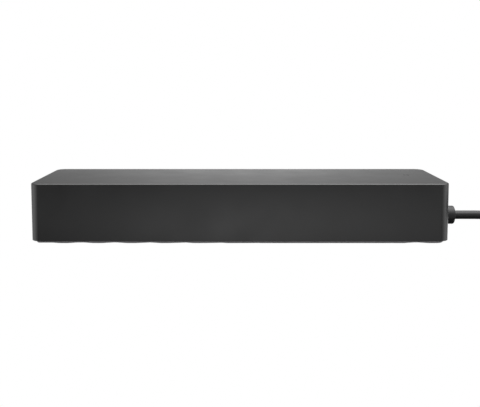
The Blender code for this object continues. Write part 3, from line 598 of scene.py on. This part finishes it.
def smooth_points(points, spacing):
    """Points at about the spacing along a smooth curve that passes through the given points."""
    points = [Vector(p) for p in points]
    reach = [0.0]
    for before, after in zip(points, points[1:]):
        reach.append(reach[-1] + (after - before).length)
    slopes = []
    for i in range(len(points)):
        low, high = max(i - 1, 0), min(i + 1, len(points) - 1)
        slopes.append((points[high] - points[low]) / (reach[high] - reach[low]))
    smooth = []
    for i in range(len(points) - 1):
        length = reach[i + 1] - reach[i]
        steps = max(1, round(length / spacing))
        for step in range(steps):
            t = step / steps
            smooth.append(
                points[i] * (2 * t**3 - 3 * t**2 + 1)
                + slopes[i] * length * (t**3 - 2 * t**2 + t)
                + points[i + 1] * (3 * t**2 - 2 * t**3)
                + slopes[i + 1] * length * (t**3 - t**2)
            )
    return smooth + [points[-1]]


def make_jacket():
    curve = bpy.data.curves.new("host_cable_jacket", "CURVE")
    curve.dimensions = "3D"
    curve.bevel_depth = CABLE_DIAMETER / 2
    curve.bevel_resolution = 8
    curve.use_fill_caps = True
    route = smooth_points([*LEAD_ROUTE, *coil_points(), *TAIL_ROUTE], 0.0025)
    spline = curve.splines.new("POLY")
    spline.points.add(len(route) - 1)
    for point, place in zip(spline.points, route):
        point.co = (*place, 1.0)
    spline.use_smooth = True
    cable = link("host_cable_jacket", curve)
    finish_piece(cable, "cable_rubber", HOUSING, "host_cable", "host_cable_coil", "host_cable_tail")
    return cable


def make_collar():
    """Short moulded collar with a rounded mouth, held in the wall by its neck and inner flange."""
    low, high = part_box("cable_collar")
    radius, tip, back = (high[2] - low[2]) / 2, high[0], low[0]
    bore, neck = CABLE_DIAMETER / 2 + COLLAR_CLEARANCE, COLLAR_NECK_RADIUS
    outer_shoulder, inner_shoulder = COLLAR_SHOULDER_X, back + COLLAR_FLANGE_WIDTH
    flange = neck + COLLAR_FLANGE_RISE
    chamfer = COLLAR_SHOULDER_CHAMFER
    mouth = arc((radius - COLLAR_ROUNDING, tip - COLLAR_ROUNDING), COLLAR_ROUNDING, 90, 0, 8)
    profile = [(bore, back), (bore, tip - COLLAR_MOUTH_CHAMFER), (bore + COLLAR_MOUTH_CHAMFER, tip)]
    profile += [*mouth, (radius, outer_shoulder + chamfer), (radius - chamfer, outer_shoulder)]
    profile += [(neck, outer_shoulder), (neck, inner_shoulder)]
    profile += [(flange, inner_shoulder), (flange, back)]
    collar = turned("collar_moulding", profile, (0, 0, CABLE_Z), "X", bored=True)
    return finish_piece(collar, "cable_rubber", HOUSING, "cable_collar")


def make_tie():
    """Hook-and-loop band right round the coil's section."""
    low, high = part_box("cable_tie")
    half_y, half_z = (high[1] - low[1]) / 2, (high[2] - low[2]) / 2
    y, z = (low[1] + high[1]) / 2, (low[2] + high[2]) / 2
    sections = []
    corners = ((low[0], 0.0), (high[0], 0.0), (high[0], TIE_THICKNESS), (low[0], TIE_THICKNESS))
    for x, inset in corners:
        outline = rounded_outline(half_y - inset, half_z - inset, TIE_CORNER - inset, 10)
        sections.append([(x, y + a, z + b) for a, b in outline])
    band = loft("tie_band", sections, closed=True)
    soften(band, 0.0001, angle=60)
    return finish_piece(band, "tie_fabric", HOUSING, "cable_tie")


def plug_outline(front, back):
    """How far the grip's surface lies inside its full section along its length."""
    edge = PLUG_EDGE
    outline = [(front, edge), (front + 0.25 * edge, 0.35 * edge), (front + edge, 0.0)]
    for number in range(GROOVE_COUNT):
        y = front + GROOVE_START + number * GROOVE_PITCH
        for step, depth in enumerate((0.0, GROOVE_DEPTH, GROOVE_DEPTH, 0.0)):
            outline.append((y + step * GROOVE_SLOPE, depth))
    return outline + [(back - edge, 0.0), (back - 0.25 * edge, 0.35 * edge), (back, edge)]


def make_plug():
    """Overmoulded grip with soft edges and finger grooves, and a ribbed strain relief."""
    low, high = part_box("host_plug_body")
    x, z = (low[0] + high[0]) / 2, (low[2] + high[2]) / 2
    half_x, half_z = (high[0] - low[0]) / 2, (high[2] - low[2]) / 2
    tip = high[1]
    sections = []
    for y, inset in plug_outline(low[1], PLUG_BACK_Y):
        outline = rounded_outline(half_x - inset, half_z - inset, PLUG_CORNER - inset, 12)
        sections.append([(x + a, y, z + b) for a, b in outline])
    grip = loft("plug_grip", sections)
    finish_piece(grip, "cable_rubber", HOUSING, "host_plug_body")
    start = PLUG_BACK_Y - RELIEF_OVERLAP
    pitch = (tip - start) / RELIEF_RIBS
    profile = [(0.0, start)]
    for number in range(RELIEF_RIBS):
        y, radius = start + number * pitch, RELIEF_RADIUS - RELIEF_TAPER * number
        waist = radius - RELIEF_RIB_HEIGHT
        profile += [(radius, y), (radius, y + 0.6 * pitch)]
        profile += [(waist, y + 0.7 * pitch), (waist, y + 0.9 * pitch)]
    profile[-1] = (profile[-1][0], tip)
    profile.append((0.0, tip))
    relief = turned("plug_relief", profile, (x, 0, z), "Y", 32)
    return grip, finish_piece(relief, "cable_rubber", HOUSING)


def make_cord():
    """The cable with the pieces on it."""
    grip, relief = make_plug()
    make_jacket()
    make_collar()
    make_tie()


# ---------------------------------------------------------------- cover and pad


def cover_ring(inset, z):
    """Outline of the drafted cover at a height, drawn in by the inset."""
    flare = math.tan(DRAFT) * (HEIGHT - z)
    half_x, half_y = TOP_HALF_X + flare - inset, TOP_HALF_Y + flare - inset
    return [(x, y, z) for x, y in rounded_outline(half_x, half_y, CORNER_RADIUS - inset, 20)]


def make_cover():
    """One moulding: rounded top edge, drafted walls, and openings for sockets, light and cable."""
    rim = arc((EDGE_RADIUS, HEIGHT - EDGE_RADIUS), EDGE_RADIUS, 90, 180, 8)
    lip = 0.0002
    foot = arc((lip, COVER_BOTTOM + lip), lip, 180, 270, 4)
    inside = ((WALL, COVER_BOTTOM), (WALL, HEIGHT - WALL))
    cover = loft("cover_moulding", [cover_ring(inset, z) for inset, z in (*rim, *foot, *inside)])
    posts, bores = [], []
    for number in range(1, 5):
        low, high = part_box(f"base_screw_{number}")
        place = ((low[0] + high[0]) / 2, (low[1] + high[1]) / 2, 0)
        posts.append(rod("post", POST_RADIUS, POST_FOOT_Z, HEIGHT - WALL / 2, place, "Z", 32))
        bores.append(rod("bore", SCREW_BORE_RADIUS, 0.0, SCREW_BORE_TOP_Z, place, "Z", 24))
    combine(cover, "UNION", *posts)
    combine(cover, "DIFFERENCE", *bores)
    lens_low, lens_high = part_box("led_light_pipe")
    lens_place = ((lens_low[0] + lens_high[0]) / 2, LENS_Y, 0)
    window_low = (-WINDOW_HALF_X, WINDOW_INNER_Y, WINDOW_LOW)
    window_high = (WINDOW_HALF_X, WINDOW_OUTER_Y, WINDOW_HIGH)
    hole_ends = CABLE_HOLE_START_X, CABLE_HOLE_END_X
    combine(
        cover,
        "DIFFERENCE",
        block("window", window_low, window_high),
        rod("cable_hole", CABLE_HOLE_RADIUS, *hole_ends, (0, 0, CABLE_Z), "X"),
        rod("light_hole", LIGHT_HOLE_RADIUS, HEIGHT - 0.003, HEIGHT + 0.002, lens_place, "Z"),
    )
    soften(cover, 0.00012, angle=55)
    finish_piece(cover, "cover_plastic", HOUSING, "top_cover")


def ridge_height(x):
    """How far the pad's underside is above the table: flat on each ridge, hollow between them."""
    phase = 2 * math.pi * (x - RIDGE_AT_X) / RIDGE_PITCH
    flat = math.cos(math.pi / 4)
    return RIDGE_DEPTH * max(0.0, flat - math.cos(phase)) / (1 + flat)


def pad_ring(half_x, half_y, inset, z, top):
    """Outline of the pad with many points along its long sides, raised between the ridges."""
    corners = rounded_outline(half_x - inset, half_y - inset, PAD_CORNER - inset, 8)
    steps = round(2 * half_x / RIDGE_PITCH * STEPS_PER_RIDGE)
    outline = []
    for i, (x, y) in enumerate(corners):
        next_x = corners[(i + 1) % len(corners)][0]
        outline.append((x, y))
        if abs(next_x - x) > half_x:
            outline += [(x + step / steps * (next_x - x), y) for step in range(1, steps)]
    return [(x, y, z + ridge_height(x) * (1 - z / top)) for x, y in outline]


def make_pad():
    """Rubber pad with shallow ridges across its underside and a small radius round its foot."""
    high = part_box("base_pad")[1]
    edge = arc((PAD_EDGE, PAD_EDGE), PAD_EDGE, 270, 180, 4)
    rings = [pad_ring(high[0], high[1], inset, z, high[2]) for inset, z in (*edge, (0.0, high[2]))]
    pad = loft("pad_moulding", rings)
    finish_piece(pad, "pad_rubber", HOUSING, "base_pad")


# ---------------------------------------------------------------- sockets and button


def tongue_blade(name):
    """Box of the tongue's flat blade, from the points at its front end."""
    points = [v.co for v in frame["nodes"][name].data.vertices]
    front = max(p.y for p in points)
    blade = [p for p in points if p.y > front - 0.0005]
    return [tuple(edge(p[i] for p in blade) for i in range(3)) for edge in (min, max)]


def make_contacts():
    """Gold pads on both sides of each socket's tongue, or on the lower side of a flat one."""
    for name in sorted(frame["nodes"]):
        if not name.endswith("_tongue"):
            continue
        kind = name.split("_socket")[0]
        pads = CONTACTS[kind]
        low, high = tongue_blade(name)
        centre = (low[0] + high[0]) / 2
        bm = bmesh.new()
        for z in (low[2],) if kind == "usb_a" else (low[2], high[2]):
            for number in range(pads.count):
                x = centre + (number - (pads.count - 1) / 2) * pads.pitch
                made = bmesh.ops.create_cube(bm, size=1.0)["verts"]
                size = (pads.width, CONTACT_LENGTH, CONTACT_THICKNESS)
                bmesh.ops.scale(bm, vec=size, verts=made)
                bmesh.ops.translate(bm, vec=(x, high[1] - CONTACT_SETBACK, z), verts=made)
        bmesh.ops.bevel(bm, geom=bm.edges[:], offset=CONTACT_EDGE, segments=1, affect="EDGES")
        mesh = bpy.data.meshes.new(name.replace("_tongue", "_contacts"))
        bm.to_mesh(mesh)
        bm.free()
        finish_piece(link(mesh.name, mesh), "contact_gold", HOUSING)


def make_button():
    """Cap with a shallow dish and a ring groove, on the flange and stem that the panel hides."""
    low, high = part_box("power_button")
    x, z = (low[0] + high[0]) / 2, (low[2] + high[2]) / 2
    front, back = high[1], low[1]
    flange = (high[0] - low[0]) / 2
    cap, shoulder = flange - CAP_STEP, front - CAP_HEIGHT
    profile = [(0.0, front - DISH_DEPTH)]
    for radius in DISH_STEPS:
        profile.append((radius, front - DISH_DEPTH * (1 - (radius / DISH_RADIUS) ** 2)))
    ring_floor = front - RING_DEPTH
    profile += [(RING_INNER, ring_floor), (RING_MIDDLE, ring_floor), (RING_OUTER, front)]
    profile += arc((cap - CAP_EDGE, front - CAP_EDGE), CAP_EDGE, 90, 0, 6)
    flange_back = shoulder - FLANGE_THICKNESS
    profile += [(cap, shoulder), (flange, shoulder), (flange, flange_back)]
    profile += [(STEM_RADIUS, flange_back), (STEM_RADIUS, back), (0.0, back)]
    button = turned("button_cap", profile, (x, 0, z), "Y")
    finish_piece(button, "panel_plastic", BUTTON, "power_button")


make_camera()
make_backdrop()
make_studio()
make_cord()
dress_cad()
make_cover()
make_pad()
make_contacts()
make_button()
